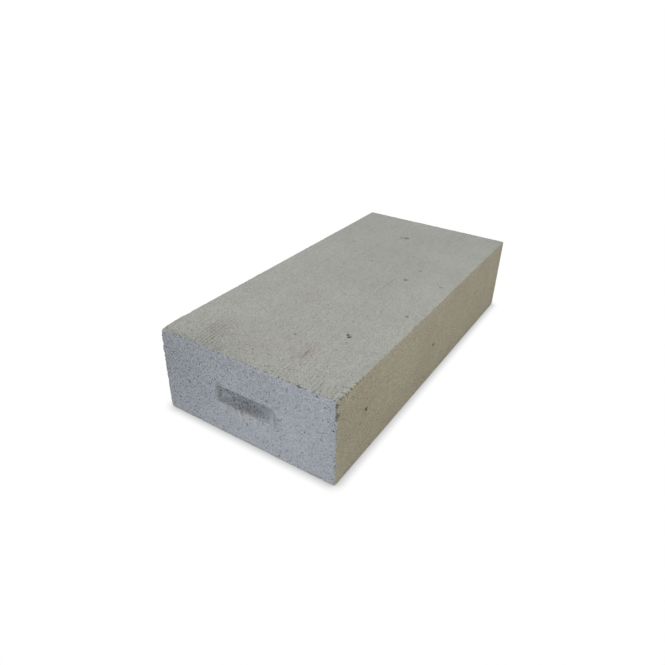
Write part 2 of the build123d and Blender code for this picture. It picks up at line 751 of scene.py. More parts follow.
@dataclass(frozen=True)
class GripMouth:
    """The mouth of the milled hand grip in each end face, in metres.

    Attributes:
        width: Its width across the block.
        height: Its height.
        middle: The height of its middle above the bottom bed.
        depth: The grip's depth.
        lip_radius: How round fingers have rubbed its lower lip.
        lip_share: The share of that radius, from place to place.
        lip_least: The smallest radius of the lip.
        lip_fade: How far from the mouth's corners that wear starts to fade.
        skin: How far under a face a point may lie and still belong to it.
        tears: Where the mill has torn its back wall open.
        tear_start: The depth in the grip at which the tears start.
        tear_fade: How much deeper they are at their full strength.
        open_from: How torn the wall is where its bubbles start to show.
        tear_gain: How fast they reach their full depth from there.
        bubbles: The bubbles that show where it is torn.
        ramps: Where the mill has left a smooth ramp.
        ramp_start: How smooth a ramp is at the end face.
        ramp_fade: How much deeper it would go from rough to smooth.
        ramp_gain: How much wider than its patch the smooth part is.
        slack: How far past its walls a point still counts as inside.
        behind: How far past its back wall it does.
    """

    width: float = 102.4 * MM
    height: float = 30 * MM
    middle: float = 67.5 * MM
    depth: float = 15 * MM
    lip_radius: float = 3.2 * MM
    lip_share: Varied = Varied(0.8, 0.5, Noise(43, 9 * MM, 2))
    lip_least: float = 0.5 * MM
    lip_fade: float = 12 * MM
    skin: float = 1.2 * MM
    tears: tuple[Patch, ...] = GRIP_TEARS
    tear_start: float = 7 * MM
    tear_fade: float = 5 * MM
    open_from: float = 0.25
    tear_gain: float = 2.0
    bubbles: Bubbles = Bubbles(seed=151, cell=4.2 * MM, smallest=1.0 * MM, largest=1.8 * MM, share=0.75)
    ramps: tuple[Patch, ...] = SMOOTH_RAMPS
    ramp_start: float = 0.3
    ramp_fade: float = 4 * MM
    ramp_gain: float = 1.6
    slack: float = 1.0 * MM
    behind: float = 4 * MM

    def wear_lip(self, points: Points, box: BlockBox) -> Points:
        """Rounds the lower lip of the mouth.

        Args:
            points: Points of the block's surface.
            box: The block's box.

        Returns:
            The moved points.
        """
        floor = self.middle - self.height / 2
        inset = box.insets(points)[:, 0]
        beside = self.width / 2 - np.abs(points[:, 1])
        near = (beside > 0) & (inset < self.depth) & (np.abs(points[:, 2] - floor) < 2 * self.lip_radius)
        near &= (points[:, 2] < floor + TOUCH) & (np.minimum(inset, floor - points[:, 2]) < self.skin)
        held = points[near]
        fade = np.clip(beside[near] / self.lip_fade, 0, 1)
        radii = self.lip_radius * self.lip_share.at(held) * fade
        radii = np.clip(radii, self.lip_least, None)[:, None]
        kept = _rounded(np.stack([inset[near], floor - held[:, 2]], 1), radii)
        moved = points.copy()
        moved[near, 0] = np.sign(held[:, 0]) * (box.half[0] - kept[:, 0])
        moved[near, 2] = floor - kept[:, 1]
        return moved

    def carve(self, points: Points, normals: Points, box: BlockBox) -> Values:
        """How far each point sinks where the back wall is torn open.

        Args:
            points: Points of the surface.
            normals: Its outward normals there.
            box: The block's box.

        Returns:
            The depth at each point, in metres.
        """
        deep = np.clip((box.insets(points)[:, 0] - self.tear_start) / self.tear_fade, 0, 1)
        torn = self.within(points, box) * deep * sum(patch.share(points, box) for patch in self.tears)
        sunk = np.zeros(len(points))
        open_wall = torn > self.open_from
        sunk[open_wall] = self.bubbles.carve(points[open_wall], normals[open_wall])
        return sunk * np.clip(self.tear_gain * torn, 0, 1)

    def smoothness(self, points: Points, box: BlockBox) -> Values:
        """How smooth the points are for lying on a smooth ramp.

        Args:
            points: Points of the surface.
            box: The block's box.

        Returns:
            A value from 0 to 1 for each point.
        """
        deep = np.clip(self.ramp_start + box.insets(points)[:, 0] / self.ramp_fade, 0, 1)
        smooth = sum(patch.share(points, box) for patch in self.ramps)
        return self.within(points, box) * deep * np.clip(self.ramp_gain * smooth, 0, 1)

    def from_rim(self, points: Points, box: BlockBox) -> Values:
        """How far the points are from the mouth's rim.

        Args:
            points: Points of the surface.
            box: The block's box.

        Returns:
            The distance of each.
        """
        inset = box.insets(points)[:, 0]
        beside = np.abs(points[:, 1]) - self.width / 2
        above = np.abs(points[:, 2] - self.middle) - self.height / 2
        outside = np.hypot(np.clip(beside, 0, None), np.clip(above, 0, None))
        within = np.minimum(np.maximum(beside, above), 0)
        return np.hypot(outside + np.abs(within), inset)

    def within(self, points: Points, box: BlockBox, margin: float = 0.0) -> NDArray[np.bool_]:
        """Which points lie inside the grip.

        Args:
            points: The points.
            box: The block's box.
            margin: How far under the end face a point has to be, in metres.

        Returns:
            True for each point inside.
        """
        inset = box.insets(points)
        in_mouth = np.abs(points[:, 1]) < self.width / 2 + self.slack
        in_mouth &= np.abs(points[:, 2] - self.middle) < self.height / 2 + self.slack
        return in_mouth & (inset[:, 0] > margin) & (inset[:, 0] < self.depth + self.behind)


@dataclass(frozen=True)
class Atlas:
    """The flat map for the finish, with every face at one scale. Lengths are in metres.

    Attributes:
        name: The map's name.
        gap: The gap between faces on the map.
        wall_margin: How far under the end face the grips' flat walls start.
        wall_level: How upright the normal of such a wall is at least, from 0 to 1.
    """

    name: str = "OFBake"
    gap: float = 5 * MM
    wall_margin: float = 0.6 * MM
    wall_level: float = 0.75

    def lay_out(self, mesh: bpy.types.Mesh, box: BlockBox, grip: GripMouth) -> None:
        """Gives a mesh its flat map.

        Args:
            mesh: The block's mesh.
            box: The block's box.
            grip: The grip's mouth, whose flat walls get places of their own.
        """
        centres = _numbers(mesh.polygons, "center", 3)
        normals = _numbers(mesh.polygons, "normal", 3)
        corner_counts = _numbers(mesh.polygons, "loop_total", 1).ravel().astype(int)
        owner = np.repeat(np.arange(len(centres)), corner_counts)
        vertices = _numbers(mesh.loops, "vertex_index", 1).ravel().astype(int)
        corners = _points_of(mesh)[vertices]
        flat = np.zeros((len(corners), 2))
        for side, place in self._places(box).items():
            mine = box.nearest(centres, (side,))[owner]
            away = corners[mine] - box.corner(side)
            spread = [away @ side.rightward, away @ side.downward]
            if side in ENDS:
                spread.reverse()
            flat[mine] = np.stack(spread, 1) + place
        level = grip.within(centres, box, self.wall_margin) & (np.abs(normals[:, 2]) > self.wall_level)
        for place, (end, upper) in enumerate(itertools.product((-1, 1), (-1, 1))):
            mine = level & (np.sign(centres[:, 0]) == end) & (np.sign(normals[:, 2]) == upper)
            mine = mine[owner]
            inward = box.insets(corners[mine])[:, 0]
            across = corners[mine, 1] + grip.width / 2
            wall = self._wall_place(box, grip, place)
            flat[mine] = np.stack([across, inward], 1) + wall
        layer = mesh.uv_layers.new(name=self.name)
        layer.uv.foreach_set("vector", (flat / self._size(box)).astype(np.float32).ravel())

    def _rows(self, box: BlockBox) -> Values:
        """Where each row of long faces starts on the map."""
        _, width, height = box.half * 2
        return np.cumsum([self.gap, width + self.gap, width + self.gap, height + self.gap])

    def _places(self, box: BlockBox) -> dict[Side, Points]:
        """Where the faces lie on the map: the long faces in rows, and the ends beside them.

        Args:
            box: The block's box.

        Returns:
            The corner of each face.
        """
        rows = self._rows(box)
        column = box.half[0] * 2 + 2 * self.gap
        lefts = (self.gap, self.gap, self.gap, self.gap, column, column)
        tops = (rows[0], rows[1], rows[2], rows[3], rows[0], rows[1])
        return {side: np.array(place) for side, place in zip(Side, zip(lefts, tops))}

    def _wall_place(self, box: BlockBox, grip: GripMouth, number: int) -> Points:
        """The corner of one of the grips' flat walls on the map."""
        column = box.half[0] * 2 + 2 * self.gap
        return np.array([column, self._rows(box)[2] + number * (grip.depth + 2 * self.gap)])

    def _size(self, box: BlockBox) -> float:
        """The map's width and height."""
        return self._rows(box)[3] + box.half[2] * 2 + self.gap


@dataclass(frozen=True)
class Grain:
    """How open the concrete is on one kind of face.

    Attributes:
        sides: The faces.
        bubbles: The layers of bubbles that show there.
        fading: How far from the near end they fade, in metres, where they do.
    """

    sides: tuple[Side, ...]
    bubbles: tuple[Bubbles, ...]
    fading: Optional[float] = None

    def carve(self, points: Points, normals: Points, box: BlockBox) -> Values:
        """How far each point of these faces sinks into its bubbles.

        Args:
            points: Points of the faces.
            normals: Their outward normals.
            box: The block's box.

        Returns:
            The depth at each point, in metres.
        """
        sunk = np.maximum.reduce([layer.carve(points, normals) for layer in self.bubbles])
        if self.fading is not None:
            sunk *= np.exp(-((box.depth(Side.NEAR_END, points) / self.fading) ** 2))
        return sunk


@dataclass(frozen=True)
class CastBlock:
    """The block itself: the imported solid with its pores, pits, wire marks and broken arrises.

    Attributes:
        voxel: The spacing of the fine mesh that is carved, in metres.
        triangles: How many triangles the finished mesh has at most.
        wear: How its arrises are worn.
        marks: The wire marks on its beds.
        grip: The mouth of its hand grips.
        grains: How open each kind of face is.
        hollows: The pits and chips that show by themselves.
        outline: The noise that makes their rims uneven.
        rim_loose: How loose the grains at the grips' rims are, from place to place.
        rim_reach: How far from a rim they have fallen out, in metres.
        rim_depth: How deep the loosest have fallen out, in metres.
        sharp_angle: The angle from which an edge is shaded as sharp, in degrees.
        depth_name: The name under which each point keeps how far it was sunk, in metres.
    """

    voxel: float = 1.0 * MM
    triangles: int = 190000
    wear: ArrisWear = ArrisWear(spots=WORN_SPOTS)
    marks: WireMarks = WireMarks(patches=TORN_PATCHES)
    grip: GripMouth = GripMouth()
    grains: tuple[Grain, ...] = (
        Grain(
            ENDS,
            (
                Bubbles(seed=101, cell=3.4 * MM, smallest=0.8 * MM, largest=1.5 * MM, share=0.6),
                Bubbles(seed=111, cell=15 * MM, smallest=1.2 * MM, largest=2.0 * MM, share=0.3),
            ),
        ),
        Grain(FLANKS, (Bubbles(seed=121, cell=9 * MM, smallest=0.8 * MM, largest=1.5 * MM, share=0.5),)),
        Grain(BEDS, (Bubbles(seed=131, cell=14 * MM, smallest=0.8 * MM, largest=1.7 * MM, share=0.4),)),
        Grain(
            BEDS,
            (Bubbles(seed=141, cell=4.5 * MM, smallest=0.8 * MM, largest=1.5 * MM, share=0.6),),
            fading=110 * MM,
        ),
    )
    hollows: tuple[Hollow, ...] = (
        TOP_PITS + SCRATCHES + SIDE_PITS + END_PITS + GRIP_RUNOUTS + ARRIS_CHIPS + COMB_CHIPS
    )
    outline: Noise = Noise(41, 2.2 * MM, 2)
    rim_loose: Varied = Varied(0.35, 1.0, Noise(42, 2.6 * MM, 2))
    rim_reach: float = 3 * MM
    rim_depth: float = 0.9 * MM
    sharp_angle: float = 38.0
    depth_name: str = "sunk"

    def build(self, node: bpy.types.Object) -> bpy.types.Object:
        """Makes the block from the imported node.

        Args:
            node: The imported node's object.

        Returns:
            The new object, with its mesh where the node's is.
        """
        box = BlockBox.of_node(NODE)
        mesh = self._remeshed(node)
        points = self.grip.wear_lip(self.wear.round_off(_points_of(mesh), box), box)
        _move(mesh, points)
        normals = _numbers(mesh.vertex_normals, "vector", 3)
        depths = self._depths(points, normals, box)
        _move(mesh, points - depths[:, None] * normals)
        kept_depths = mesh.attributes.new(self.depth_name, "FLOAT", "POINT")
        kept_depths.data.foreach_set("value", depths.astype(np.float32))
        log.info("carved %d points", len(points))
        mesh = self._thinned(mesh)
        low, high = box.centre - box.half, box.centre + box.half
        _move(mesh, np.clip(_points_of(mesh), low, high))
        mesh.shade_smooth()
        mesh.set_sharp_from_angle(angle=math.radians(self.sharp_angle))
        Atlas().lay_out(mesh, box, self.grip)
        block = _added("block", mesh)
        log.info("block: %d triangles", len(mesh.polygons))
        return block

    def dress(self, block: bpy.types.Object, finish: "AeratedConcrete") -> None:
        """Gives the block its finish, sets it on its body and hides the imported node.

        Args:
            block: The block's object.
            finish: Its finish.
        """
        block.data.materials.clear()
        block.data.materials.append(finish.material(BlockBox.of_node(NODE), self.depth_name))
        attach(block, BODY)
        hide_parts(NODE)
        log.info("dressed %s", block.name)

    def _remeshed(self, node: bpy.types.Object) -> bpy.types.Mesh:
        """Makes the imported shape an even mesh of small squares.

        Args:
            node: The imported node's object.

        Returns:
            The new mesh.
        """
        fine = _added("fine_block", node.data.copy())
        remesh = fine.modifiers.new("even_mesh", "REMESH")
        remesh.mode = "VOXEL"
        remesh.voxel_size = self.voxel
        return _applied(fine)

    def _depths(self, points: Points, normals: Points, box: BlockBox) -> Values:
        """How far each point sinks below the plain rounded block.

        Args:
            points: Points of the surface.
            normals: Its outward normals there.
            box: The block's box.

        Returns:
            The depth at each point, in metres.
        """
        sunk = np.zeros(len(points))
        for grain in self.grains:
            mine = box.nearest(points, grain.sides)
            sunk[mine] = np.maximum(sunk[mine], grain.carve(points[mine], normals[mine], box))
        uneven = 1 - self.grip.smoothness(points, box)
        sunk *= uneven
        sunk = np.maximum(sunk, self.grip.carve(points, normals, box))
        beds = box.nearest(points, BEDS)
        sunk[beds] += self.marks.carve(points[beds], box)
        sunk += self.wear.crumbled(points, box)
        outline = self.outline.at(points)
        for hollow in self.hollows:
            centre = box.place(hollow.side, hollow.along * MM, hollow.down * MM)
            near = (np.abs(points - centre) < max(hollow.length, hollow.width) * MM).all(1)
            pit = hollow.carve(points[near], box, outline[near])
            sunk[near] = np.maximum(sunk[near], pit)
        rim = self.grip.from_rim(points, box)
        broken = np.clip(1 - rim / self.rim_reach, 0, 1) * np.clip(self.rim_loose.at(points), 0, None)
        return sunk + self.rim_depth * broken * uneven

    def _thinned(self, mesh: bpy.types.Mesh) -> bpy.types.Mesh:
        """Thins the fine mesh, so that its triangles are spent where the shape needs them.

        Args:
            mesh: The fine mesh, of four-sided faces.

        Returns:
            The thinned mesh.
        """
        dense = _added("dense_block", mesh)
        thin = dense.modifiers.new("thin", "DECIMATE")
        thin.decimate_type = "COLLAPSE"
        thin.ratio = self.triangles / (2 * len(mesh.polygons))
        thin.use_collapse_triangulate = True
        return _applied(dense)


def _added(name: str, mesh: bpy.types.Mesh) -> bpy.types.Object:
    """Puts a mesh in the scene as a new object.

    Args:
        name: The object's name.
        mesh: Its mesh.

    Returns:
        The object.
    """
    made = bpy.data.objects.new(name, mesh)
    bpy.context.scene.collection.objects.link(made)
    return made


def _applied(source: bpy.types.Object) -> bpy.types.Mesh:
    """Applies the modifiers of an object and removes it.

    Args:
        source: The object.

    Returns:
        The mesh that it ends with.
    """
    depsgraph = bpy.context.evaluated_depsgraph_get()
    mesh = bpy.data.meshes.new_from_object(source.evaluated_get(depsgraph))
    bpy.data.objects.remove(source)
    return mesh


def _numbers(parts: bpy.types.bpy_prop_collection, name: str, width: int) -> Points:
    """One property of all the parts of a mesh.

    Args:
        parts: The parts, such as its faces.
        name: The property's name.
        width: How many numbers it has for each part.

    Returns:
        One row to a part.
    """
    flat = np.empty(len(parts) * width, np.float32)
    parts.foreach_get(name, flat)
    return flat.reshape(-1, width).astype(float)


def _points_of(mesh: bpy.types.Mesh) -> Points:
    """The places of a mesh's vertices."""
    return _numbers(mesh.vertices, "co", 3)


def _move(mesh: bpy.types.Mesh, points: Points) -> None:
    """Moves a mesh's vertices to new places."""
    mesh.vertices.foreach_set("co", points.astype(np.float32).ravel())
    mesh.update()


@dataclass
class Painter:
    """Writes a node tree, one short call to a node.

    Attributes:
        tree: The node tree.
    """

    tree: bpy.types.NodeTree

    def node(self, kind: str, feeds: Optional[Feeds] = None, **settings: Setting) -> bpy.types.Node:
        """Adds a node.

        Args:
            kind: The node's type.
            feeds: What goes into its inputs, by name or number: a socket or a plain value.
            **settings: The node's own settings.

        Returns:
            The node.
        """
        made = self.tree.nodes.new(kind)
        for name, value in settings.items():
            setattr(made, name, value)
        for name, value in (feeds or {}).items():
            self.feed(made.inputs[name], value)
        return made

    def feed(self, socket: Socket, value: Feed) -> None:
        """Links a socket to another, or sets its value.

        Args:
            socket: The socket.
            value: The socket to link it to, or its own value.
        """
        if isinstance(value, bpy.types.NodeSocket):
            self.tree.links.new(value, socket)
        elif isinstance(value, tuple) and socket.type == "RGBA":
            socket.default_value = (*value, 1.0)
        else:
            socket.default_value = value

    def maths(self, operation: str, first: Feed, second: Feed = 0.0, third: Feed = 0.0) -> Socket:
        """The result of a sum on one, two or three values."""
        made = self.node("ShaderNodeMath", {0: first, 1: second, 2: third}, operation=operation)
        return made.outputs[0]

    def vectors(self, operation: str, first: Feed, second: Feed) -> Socket:
        """The result of a sum on two vectors."""
        made = self.node("ShaderNodeVectorMath", {0: first, 1: second}, operation=operation)
        return made.outputs[0]

    def ease(self, value: Feed, low: float, high: float, start: float = 0.0, end: float = 1.0) -> Socket:
        """Turns a value's range into a smooth step.

        Args:
            value: The value.
            low: Where in its range the step starts.
            high: Where it ends.
            start: The result before the step.
            end: The result after it.

        Returns:
            The result.
        """
        feeds = {"Value": value, "From Min": low, "From Max": high, "To Min": start, "To Max": end}
        made = self.node("ShaderNodeMapRange", feeds, interpolation_type="SMOOTHSTEP")
        return made.outputs["Result"]

    def noise(self, where: Feed, size: float, detail: float = 2.0, roughness: float = 0.5) -> Socket:
        """Smooth noise from 0 to 1, with blobs of a size in metres."""
        feeds = {"Vector": where, "Scale": 1 / size, "Detail": detail, "Roughness": roughness}
        return self.node("ShaderNodeTexNoise", feeds).outputs["Fac"]

    def cells(self, where: Feed, size: float) -> bpy.types.Node:
        """A pattern of cells of a size in metres, with a distance and a random colour for each."""
        return self.node("ShaderNodeTexVoronoi", {"Vector": where, "Scale": 1 / size})

    def blend(self, share: Feed, first: Feed, second: Feed) -> Socket:
        """Mixes two colours.

        Args:
            share: The share of the second one.
            first: The first colour.
            second: The second colour.

        Returns:
            The mixed colour.
        """
        made = self.node("ShaderNodeMix", data_type="RGBA", clamp_factor=True)
        for number, value in zip(MIX_INPUTS, (share, first, second)):
            self.feed(made.inputs[number], value)
        return made.outputs[MIX_OUTPUT]

    def shaded(self, colour: Feed, shade: Socket) -> Socket:
        """A colour made lighter or darker by a factor."""
        grey = self.node("ShaderNodeCombineXYZ", {0: shade, 1: shade, 2: shade}).outputs[0]
        return self.vectors("MULTIPLY", colour, grey)


def srgb(red: float, green: float, blue: float) -> Colour:
    """Turns a colour as a picture stores it, from 0 to 255, into the linear colour that a shader takes."""
    shares = (channel / 255 for channel in (red, green, blue))
    return tuple(s / 12.92 if s <= 0.04045 else ((s + 0.055) / 1.055) ** 2.4 for s in shares)


@dataclass(frozen=True)
class Mottle:
    """A soft pattern in the finish: noise, eased from one of its values to another.

    Attributes:
        size: The size of its blobs, in metres.
        noise_range: The noise between which the pattern rises, from 0 to 1.
        values: The pattern's own lowest and highest value.
        detail: How many finer layers the noise has.
        roughness: How strong these are.
        squeeze: What the place is multiplied by first, where the blobs are drawn out.
    """

    size: float
    noise_range: tuple[float, float]
    values: tuple[float, float] = (0.0, 1.0)
    detail: float = 2.0
    roughness: float = 0.5
    squeeze: Optional[tuple[float, float, float]] = None

    def write(self, paint: Painter, place: Socket) -> Socket:
        """Writes the pattern's nodes.

        Args:
            paint: Writes the nodes.
            place: The place.

        Returns:
            The pattern's value at the place.
        """
        if self.squeeze is not None:
            place = paint.vectors("MULTIPLY", place, self.squeeze)
        noise = paint.noise(place, self.size, self.detail, self.roughness)
        return paint.ease(noise, *self.noise_range, *self.values)


@dataclass(frozen=True)
class PoreLayer:
    """A layer of round pores of many sizes.

    Attributes:
        cell: The distance from pore to pore, in metres.
        least: The smallest pore's radius, as a share of that distance.
        spread: How much more the largest pore's is.
        edge: Where a pore's soft edge starts and ends, in radii from its middle.
    """

    cell: float
    least: float
    spread: float
    edge: tuple[float, float] = (1.15, 0.6)

    def write(self, paint: Painter, place: Socket) -> Socket:
        """Writes the layer's nodes.

        Args:
            paint: Writes the nodes.
            place: The place.

        Returns:
            1 inside a pore and 0 between them.
        """
        cells = paint.cells(place, self.cell)
        size = paint.node("ShaderNodeSeparateColor", {0: cells.outputs["Color"]}).outputs[0]
        reach = paint.maths("MULTIPLY_ADD", size, self.spread, self.least)
        return paint.ease(paint.maths("DIVIDE", cells.outputs["Distance"], reach), *self.edge)


@dataclass(frozen=True)
class Spot:
    """What the nodes know of the place that is shaded.

    Attributes:
        place: Where it is, in metres.
        sunk: How far it was sunk, in metres.
        on_end: How much it belongs to an end, from 0 to 1.
        on_flank: How much it belongs to a long side, from 0 to 1.
        in_grip: How much it belongs to a hand grip, from 0 to 1.
        grain: The sandy grain there, from 0 to 1.
        pores: 1 inside a fine pore and 0 between them.
    """

    place: Socket
    sunk: Socket
    on_end: Socket
    on_flank: Socket
    in_grip: Socket
    grain: Socket
    pores: Socket


@dataclass(frozen=True)
class AeratedConcrete:
    """The finish of bare aerated concrete: fine open pores, mottled grey, dusty and quite matt, with painted
    shade and painted light in places.

    Attributes:
        bed: Its colour on the wire-cut beds.
        brown_flank: Its browner colour on the long sides: partly their own tone, partly painted warm light.
        green_flank: Its greener colour there.
        end: Its colour on the sawn ends, bluer than the beds as painted cool light.
        dust: The brown dust that lies in torn patches.
        stains: Where that dust lies.
        painted_shades: Where painted shade makes the block darker.
        painted_lights: Where painted light makes it paler.
        tears: Where the grips are torn open.
        ramps: Where they are smooth.
        grip_shades: Where painted shade darkens the grips still more.
        jag: How far the ends' colour runs past their arrises, in metres.
        jag_size: The size of such a jag, in metres.
        long_jag: The share of that by which the other faces' colours run past theirs.
        seam: Half the width of the soft seam between two such colours, in metres.
        grip_depths: The depths between which the ends' finish gives way to the grips', in metres.
        shallow: How much darker painted shade makes the colour in a groove, as a share of it.
        groove_depths: The depths between which a groove darkens, in metres.
        deep: How much darker still painted shade makes it deep in a pit.
        pit_depths: The depths between which a pit darkens, in metres.
        grain: How much the sandy grain changes the colour.
        grain_size: The size of that grain, in metres.
        flank_grain: How much more it does so on the long sides.
        pore_layers: The fine pores that the mesh is too coarse for.
        swirl: How far these are pulled out of round, in metres.
        swirl_size: The size of the swirls that pull them, in metres.
        pore: How much darker the fine pores are on the beds and sides.
        end_pore: How much darker still they are on the ends.
        grip_pore: How much darker still they are in the grips' torn walls.
        shade_pore: How much darker still they are inside the painted shade patches, at their full strength.
        grip_dots: The coarse pores in the grips' torn walls.
        grip_dot: How much darker these are.
        grip_shade: How much painted shade darkens the grips all over.
        fleck: How much lighter the pale flecks are.
        fleck_cell: The distance from fleck to fleck, in metres.
        fleck_choice: The random values between which a cell comes to have a fleck.
        fleck_edge: Where a fleck's soft edge starts and ends, in cells from its middle.
        greening: Where the long sides are greener.
        clouds: The large mottles.
        dapples: The middling mottles.
        crumbs: How the crumbs on the ends change their colour.
        blotches: How the blotches on the long sides change theirs.
        streaks: How the fine lengthwise streaks on the beds and sides change theirs.
        dust_streaks: How thick the brown dust lies, in short streaks.
        groove_dust: How much thicker it lies in the grooves.
        dusty_depths: The depths between which it comes to do so, in metres.
        roughness: How rough the surface is.
        roughness_swing: How much that changes with the grain.
        shine: How strongly it reflects.
        relief: The height of the finest grain, in metres.
        grain_relief: The share of that height that the sandy grain has.
    """

    bed: Colour = srgb(166, 166, 161)
    # The ends' bluer colour is painted cool light; the long sides' warmer colours are partly painted warm
    # light.
    brown_flank: Colour = srgb(170, 163, 146)
    green_flank: Colour = srgb(169, 165, 146)
    end: Colour = srgb(180, 186, 194)
    dust: Colour = srgb(156, 143, 132)
    stains: tuple[Patch, ...] = STAINS
    painted_shades: tuple[Patch, ...] = PAINTED_SHADES
    painted_lights: tuple[Patch, ...] = PAINTED_LIGHTS
    tears: tuple[Patch, ...] = GRIP_TEARS
    ramps: tuple[Patch, ...] = SMOOTH_RAMPS
    grip_shades: tuple[Patch, ...] = GRIP_SHADES
    jag: float = 11.0 * MM
    jag_size: float = 3.6 * MM
    long_jag: float = 0.5
    seam: float = 0.8 * MM
    grip_depths: tuple[float, float] = (0.8 * MM, 4.5 * MM)
    shallow: float = 0.17
    groove_depths: tuple[float, float] = (0.08 * MM, 0.7 * MM)
    deep: float = 0.5
    pit_depths: tuple[float, float] = (0.7 * MM, 2.6 * MM)
    grain: float = 0.36
    grain_size: float = 2.0 * MM
    flank_grain: float = 0.54
    pore_layers: tuple[PoreLayer, PoreLayer] = (
        PoreLayer(2.9 * MM, least=0.12, spread=0.28),
        PoreLayer(1.7 * MM, least=0.14, spread=0.3),
    )
    swirl: float = 0.9 * MM
    swirl_size: float = 3 * MM
    pore: float = 0.18
    end_pore: float = 0.06
    grip_pore: float = 0.32
    shade_pore: float = 1.55
    grip_dots: PoreLayer = PoreLayer(4.4 * MM, least=0.14, spread=0.24)
    grip_dot: float = 0.66
    grip_shade: float = 0.03
    fleck: float = 0.12
    fleck_cell: float = 2.4 * MM
    fleck_choice: tuple[float, float] = (0.6, 0.8)
    fleck_edge: tuple[float, float] = (0.5, 0.2)
    greening: Mottle = Mottle(45 * MM, (0.35, 0.65), detail=3.0, roughness=0.6)
    clouds: Mottle = Mottle(90 * MM, (0.3, 0.7), (0.97, 1.03))
    dapples: Mottle = Mottle(9 * MM, (0.25, 0.75), (0.965, 1.035), detail=3.0, roughness=0.6)
    crumbs: Mottle = Mottle(3.2 * MM, (0.3, 0.7), (-0.06, 0.06), detail=1.0)
    blotches: Mottle = Mottle(6.5 * MM, (0.35, 0.65), (-0.04, 0.04))
    streaks: Mottle = Mottle(2.6 * MM, (0.3, 0.7), (-0.03, 0.03), squeeze=(0.06, 1.0, 1.0))
    dust_streaks: Mottle = Mottle(
        3.5 * MM, (0.35, 0.65), (0.35, 0.9), roughness=0.6, squeeze=(0.25, 1.0, 1.0)
    )
    groove_dust: float = 0.5
    dusty_depths: tuple[float, float] = (0.05 * MM, 0.5 * MM)
    roughness: float = 0.92
    roughness_swing: float = 0.1
    shine: float = 0.2
    relief: float = 0.4 * MM
    grain_relief: float = 0.8

    def material(self, box: BlockBox, depth_name: str) -> bpy.types.Material:
        """Builds the material.

        Args:
            box: The block's box.
            depth_name: The name under which the mesh keeps how far each point was sunk.

        Returns:
            The material.
        """
        made = bpy.data.materials.new(SLOT)
        made.use_nodes = True
        made.node_tree.nodes.clear()
        paint = Painter(made.node_tree)
        spot = self._spot(paint, box, depth_name)
        colour = paint.shaded(self._colour(paint, spot, box), self._shade(paint, spot, box))
        height = paint.maths("SUBTRACT", paint.maths("MULTIPLY", spot.grain, self.grain_relief), spot.pores)
        bump = paint.node("ShaderNodeBump", {"Height": height, "Strength": 1.0, "Distance": self.relief})
        smoothest = self.roughness - self.roughness_swing / 2
        rough = paint.maths("MULTIPLY_ADD", spot.grain, self.roughness_swing, smoothest)
        feeds: Feeds = {"Base Color": colour, "Roughness": rough, "Normal": bump.outputs[0]}
        shader = paint.node("ShaderNodeBsdfPrincipled", {**feeds, "Specular IOR Level": self.shine})
        paint.node("ShaderNodeOutputMaterial", {"Surface": shader.outputs[0]})
        return made

    def _spot(self, paint: Painter, box: BlockBox, depth_name: str) -> Spot:
        """Writes the nodes that tell one place from another.

        Args:
            paint: Writes the nodes.
            box: The block's box.
            depth_name: The name under which the mesh keeps how far each point was sunk.

        Returns:
            What they tell of the place.
        """
        place = paint.node("ShaderNodeTexCoord").outputs["Object"]
        sunk = paint.node("ShaderNodeAttribute", attribute_name=depth_name).outputs["Fac"]
        away = paint.vectors("SUBTRACT", place, tuple(box.centre))
        apart = paint.node("ShaderNodeSeparateXYZ", {0: away})
        reaches = [paint.maths("ABSOLUTE", apart.outputs[axis]) for axis in range(3)]
        under_end, under_flank, under_bed = (
            paint.maths("SUBTRACT", float(half), reach) for half, reach in zip(box.half, reaches)
        )
        jags = paint.noise(place, self.jag_size, roughness=0.6)
        uneven = paint.maths("MULTIPLY_ADD", jags, 2 * self.jag, -self.jag)
        past_flank = paint.maths("SUBTRACT", under_flank, under_end)
        past_bed = paint.maths("SUBTRACT", under_bed, under_end)
        past_both = paint.maths("ADD", paint.maths("MINIMUM", past_flank, past_bed), uneven)
        on_end = paint.ease(past_both, -self.seam, self.seam)
        past_top = paint.maths("SUBTRACT", under_bed, under_flank)
        past_top = paint.maths("MULTIPLY_ADD", uneven, self.long_jag, past_top)
        on_long = paint.ease(past_top, -self.seam, self.seam)
        on_flank = paint.maths("MULTIPLY", on_long, paint.maths("SUBTRACT", 1.0, on_end))
        in_grip = paint.maths("MULTIPLY", on_end, paint.ease(under_end, *self.grip_depths))
        grain = paint.noise(place, self.grain_size, roughness=0.7)
        return Spot(place, sunk, on_end, on_flank, in_grip, grain, self._pores(paint, place))

    def _pores(self, paint: Painter, place: Socket) -> Socket:
        """Writes the fine pores that the mesh is too coarse for.

        Args:
            paint: Writes the nodes.
            place: The place.

        Returns:
            1 inside a pore and 0 between them.
        """
        swirl = paint.node("ShaderNodeTexNoise", {"Vector": place, "Scale": 1 / self.swirl_size})
        pull = paint.vectors("MULTIPLY", swirl.outputs["Color"], (self.swirl, self.swirl, self.swirl))
        moved = paint.vectors("ADD", place, pull)
        coarse, fine = (layer.write(paint, moved) for layer in self.pore_layers)
        return paint.maths("MAXIMUM", coarse, fine)

    def _colour(self, paint: Painter, spot: Spot, box: BlockBox) -> Socket:
        """Writes the colour before it is shaded: mottled, and stained by brown dust, most in the grooves.

        Args:
            paint: Writes the nodes.
            spot: What they know of the place.
            box: The block's box.

        Returns:
            The colour.
        """
